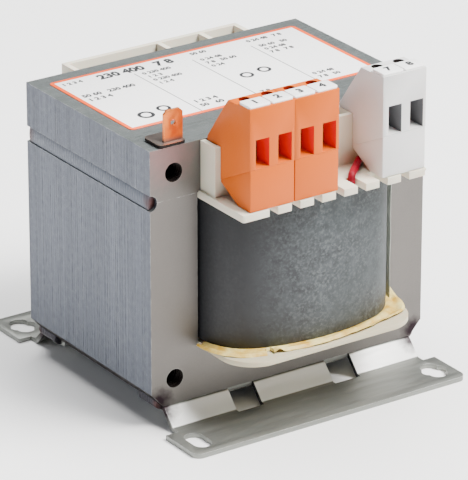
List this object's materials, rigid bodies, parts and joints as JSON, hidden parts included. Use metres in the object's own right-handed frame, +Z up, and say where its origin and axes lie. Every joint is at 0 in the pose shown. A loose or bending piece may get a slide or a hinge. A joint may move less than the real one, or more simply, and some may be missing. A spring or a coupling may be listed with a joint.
{
  "type": "laminated chassis transformer",
  "caption": "Low-voltage chassis transformer: welded laminated core on two slotted sheet feet, wrapped coil on a moulded bobbin, screw terminal blocks and an earth tab.",
  "frame": {"origin": "on the floor plane, in the middle between the four foot slots", "axes": "+X to the right seen from the terminals, +Y from the terminals to the back, +Z up out of the feet"},
  "size_m": [0.096, 0.1124, 0.1031],
  "materials": {
    "lamination_steel": "cut sheet edges, thin clear varnish",
    "weld_metal": "bare weld bead, slightly tinted",
    "burnt_weld": "dark weld with heat tint",
    "foot_steel": "rolled steel sheet, satin",
    "bobbin_plastic": "natural moulded polyamide",
    "enamelled_wire": "enamelled copper wire",
    "insulation_film": "creased insulating film",
    "wrap_paper": "mottled impregnated paper",
    "orange_plastic": "fine moulded grain",
    "grey_plastic": "fine moulded grain",
    "clamp_steel": "zinc plated",
    "tinned_brass": "tin plated",
    "tag_plastic": "smooth white",
    "tab_brass": "stamped sheet, warm tint",
    "label_film": "printed film with an orange border",
    "red_sleeve": "soft sleeving"
  },
  "bodies": {
    "root": {"e_lamination_stack": "lamination_steel", "i_lamination_stack": "lamination_steel", "left_joint_weld": "weld_metal", "right_joint_weld": "weld_metal", "front_foot_bracket": "foot_steel", "front_left_foot_weld": "burnt_weld", "front_right_foot_weld": "burnt_weld", "rear_foot_bracket": "foot_steel", "rear_left_foot_weld": "burnt_weld", "rear_right_foot_weld": "burnt_weld", "bobbin": "bobbin_plastic", "primary_winding": "enamelled_wire", "winding_barrier": "insulation_film", "secondary_winding": "enamelled_wire", "outer_wrap": "wrap_paper", "insulation_cuff": "insulation_film", "orange_left_terminal_housing": "orange_plastic", "orange_left_terminal_base": "orange_plastic", "orange_right_terminal_housing": "orange_plastic", "orange_right_terminal_base": "orange_plastic", "grey_terminal_housing": "grey_plastic", "grey_terminal_base": "grey_plastic", "clamp_cage_1": "clamp_steel", "clamp_screw_1": "clamp_steel", "marker_tag_1": "tag_plastic", "solder_pin_1": "tinned_brass", "clamp_cage_2": "clamp_steel", "clamp_screw_2": "clamp_steel", "marker_tag_2": "tag_plastic", "solder_pin_2": "tinned_brass", "clamp_cage_3": "clamp_steel", "clamp_screw_3": "clamp_steel", "marker_tag_3": "tag_plastic", "solder_pin_3": "tinned_brass", "clamp_cage_4": "clamp_steel", "clamp_screw_4": "clamp_steel", "marker_tag_4": "tag_plastic", "solder_pin_4": "tinned_brass", "clamp_cage_7": "clamp_steel", "clamp_screw_7": "clamp_steel", "marker_tag_7": "tag_plastic", "solder_pin_7": "tinned_brass", "clamp_cage_8": "clamp_steel", "clamp_screw_8": "clamp_steel", "marker_tag_8": "tag_plastic", "solder_pin_8": "tinned_brass", "earth_tab": "tab_brass", "rating_label": "label_film", "red_sleeved_lead": "red_sleeve"}
  },
  "joints": []
}
